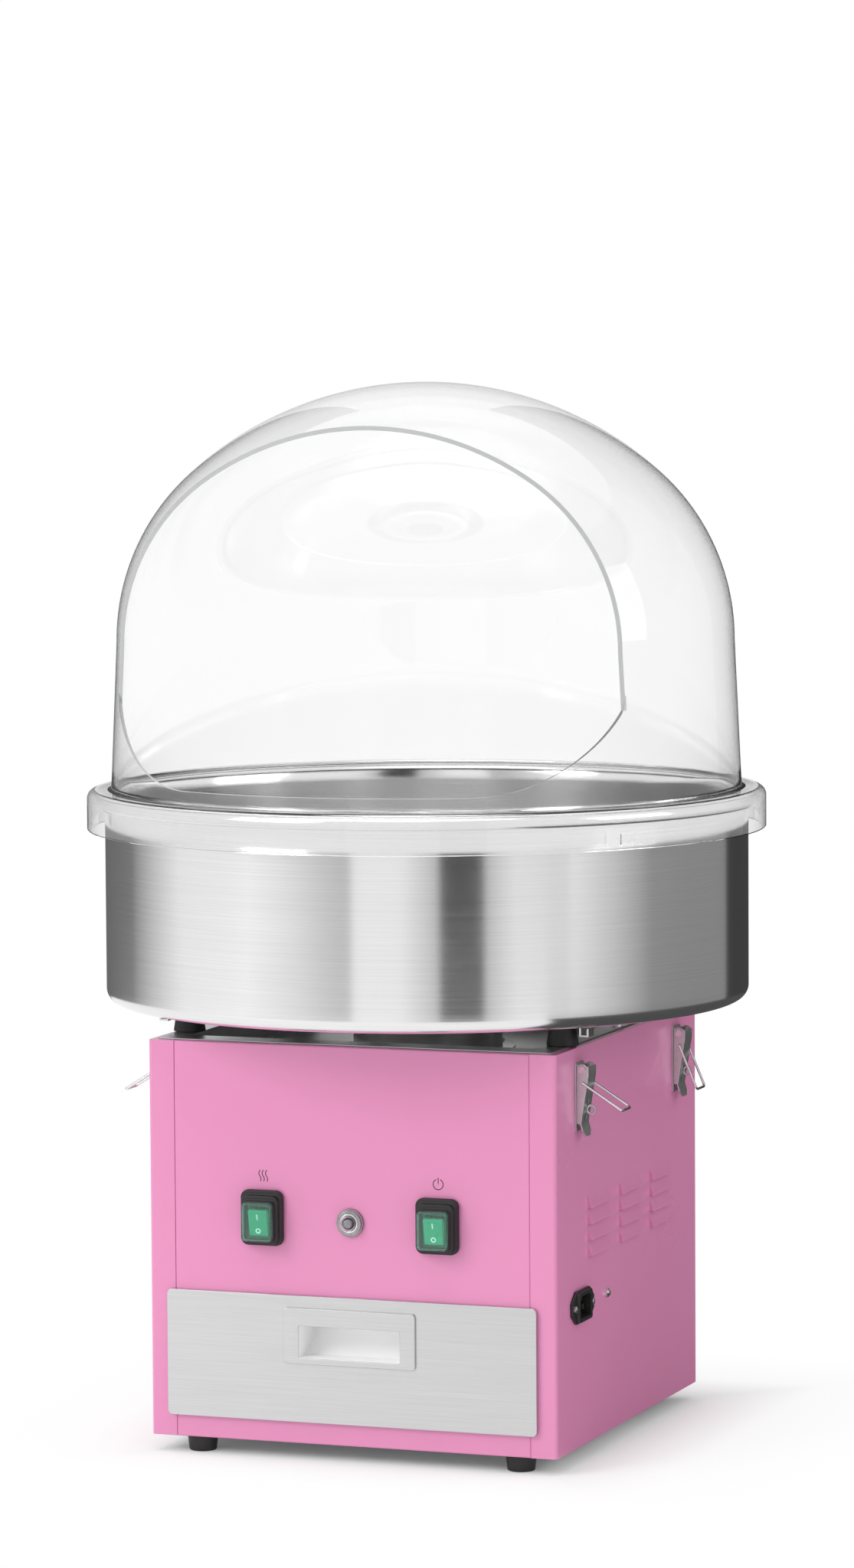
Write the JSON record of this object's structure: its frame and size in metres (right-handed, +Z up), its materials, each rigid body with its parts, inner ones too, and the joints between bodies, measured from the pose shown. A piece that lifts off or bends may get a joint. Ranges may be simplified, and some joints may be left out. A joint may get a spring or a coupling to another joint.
{
  "type": "electric candy floss machine",
  "caption": "Electric candy floss machine: painted cabinet with drawer and switches, spinning heated head, steel bowl on supports, clear dome with open front.",
  "frame": {"origin": "on the floor under the axis of the spinning head", "axes": "+Z up, front towards -Y, +X to the right seen from the front"},
  "size_m": [0.53, 0.5298, 0.8191],
  "materials": {
    "pink_paint": "satin powder coat",
    "brushed_steel": "brushed",
    "plain_steel": "plain",
    "bright_steel": "bright",
    "head_metal": "turned satin",
    "motor_metal": "painted",
    "black_rubber": "matt",
    "black_plastic": "matt",
    "clear_cap": "soft clear rubber",
    "clear_dome": "clear plastic",
    "green_plastic": "gloss",
    "white_plastic": "gloss",
    "brown_board": "laminate",
    "copper_brass": "machined",
    "white_ceramic": "matt",
    "red_lead": "wire insulation"
  },
  "bodies": {
    "housing": {"side_panel_right": "pink_paint", "side_panel_left": "pink_paint", "front_panel": "pink_paint", "back_panel": "pink_paint", "base_plate": "plain_steel", "feet": "black_rubber", "foot_screws": "bright_steel", "cabinet_screws": "bright_steel", "tray": "brushed_steel", "bowl_posts": "black_rubber", "post_screws": "bright_steel", "guard_ring": "brushed_steel", "motor_screws": "bright_steel", "motor_bracket": "plain_steel", "motor_case": "motor_metal", "motor_bearings": "bright_steel", "brush_holder": "brown_board", "carbon_brushes": "black_plastic", "switch_surrounds": "black_rubber", "switch_caps": "clear_cap", "switch_bodies": "black_plastic", "reset_breaker": "black_plastic", "reset_ring_nut": "bright_steel", "reset_boot": "clear_cap", "inlet_body": "black_plastic", "inlet_pins": "copper_brass", "inlet_screws": "bright_steel", "earth_screw": "bright_steel", "wiring": "red_lead", "drawer_runners": "plain_steel", "latch_bases": "bright_steel", "latch_rivets": "bright_steel"},
    "drawer": {"drawer_box": "plain_steel", "drawer_front": "brushed_steel", "drawer_handle": "brushed_steel"},
    "heat_rocker": {"rocker_heat": "green_plastic"},
    "power_rocker": {"rocker_power": "green_plastic"},
    "reset_button": {"reset_button": "white_plastic"},
    "spinner": {"drive_shaft": "bright_steel", "motor_rotor": "motor_metal", "slip_rings": "copper_brass", "head_base": "motor_metal", "heating_ring": "plain_steel", "heater_posts": "white_ceramic", "head_drum": "head_metal", "head_cone": "head_metal", "head_screws": "bright_steel", "head_fins": "head_metal", "fin_screws": "bright_steel"},
    "bowl": {"bowl": "brushed_steel", "bowl_hooks": "bright_steel"},
    "dome": {"dome": "clear_dome"},
    "lever_front_right": {"lever_front_right": "bright_steel"},
    "bail_front_right": {"bail_front_right": "bright_steel"},
    "lever_front_left": {"lever_front_left": "bright_steel"},
    "bail_front_left": {"bail_front_left": "bright_steel"},
    "lever_rear_right": {"lever_rear_right": "bright_steel"},
    "bail_rear_right": {"bail_rear_right": "bright_steel"},
    "lever_rear_left": {"lever_rear_left": "bright_steel"},
    "bail_rear_left": {"bail_rear_left": "bright_steel"}
  },
  "joints": [
    {"name": "head_spin", "type": "hinge", "parent": "housing", "child": "spinner", "pos_m": [0, 0, 0.32], "axis": [0, 0, 1], "continuous": true},
    {"name": "drawer_slide", "type": "slide", "parent": "housing", "child": "drawer", "axis": [0, -1, 0], "range_m": [0, 0.26]},
    {"name": "heat_rocker", "type": "hinge", "parent": "housing", "child": "heat_rocker", "pos_m": [-0.071, -0.178, 0.184], "axis": [-1, 0, 0], "range_deg": [0, 24]},
    {"name": "power_rocker", "type": "hinge", "parent": "housing", "child": "power_rocker", "pos_m": [0.071, -0.178, 0.184], "axis": [-1, 0, 0], "range_deg": [0, 24]},
    {"name": "reset_press", "type": "slide", "parent": "housing", "child": "reset_button", "axis": [0, 1, 0], "range_m": [0, 0.002], "stiffness_N_per_m": 300},
    {"name": "lever_front_right", "type": "hinge", "parent": "housing", "child": "lever_front_right", "pos_m": [0.171, -0.119, 0.303], "axis": [0, -1, 0], "range_deg": [0, 68]},
    {"name": "bail_front_right", "type": "hinge", "parent": "lever_front_right", "child": "bail_front_right", "pos_m": [0.1715, -0.119, 0.293], "axis": [0, -1, 0], "range_deg": [-50, 50]},
    {"name": "lever_front_left", "type": "hinge", "parent": "housing", "child": "lever_front_left", "pos_m": [-0.171, -0.119, 0.303], "axis": [0, 1, 0], "range_deg": [0, 68]},
    {"name": "bail_front_left", "type": "hinge", "parent": "lever_front_left", "child": "bail_front_left", "pos_m": [-0.1715, -0.119, 0.293], "axis": [0, 1, 0], "range_deg": [-50, 50]},
    {"name": "lever_rear_right", "type": "hinge", "parent": "housing", "child": "lever_rear_right", "pos_m": [0.171, 0.119, 0.303], "axis": [0, -1, 0], "range_deg": [0, 68]},
    {"name": "bail_rear_right", "type": "hinge", "parent": "lever_rear_right", "child": "bail_rear_right", "pos_m": [0.1715, 0.119, 0.293], "axis": [0, -1, 0], "range_deg": [-15, 85]},
    {"name": "lever_rear_left", "type": "hinge", "parent": "housing", "child": "lever_rear_left", "pos_m": [-0.171, 0.119, 0.303], "axis": [0, 1, 0], "range_deg": [0, 68]},
    {"name": "bail_rear_left", "type": "hinge", "parent": "lever_rear_left", "child": "bail_rear_left", "pos_m": [-0.1715, 0.119, 0.293], "axis": [0, 1, 0], "range_deg": [-15, 85]},
    {"name": "bowl_lift", "type": "slide", "parent": "housing", "child": "bowl", "axis": [0, 0, 1], "range_m": [0, 0.13]},
    {"name": "dome_lift", "type": "slide", "parent": "bowl", "child": "dome", "axis": [0, 0, 1], "range_m": [0, 0.125]}
  ]
}
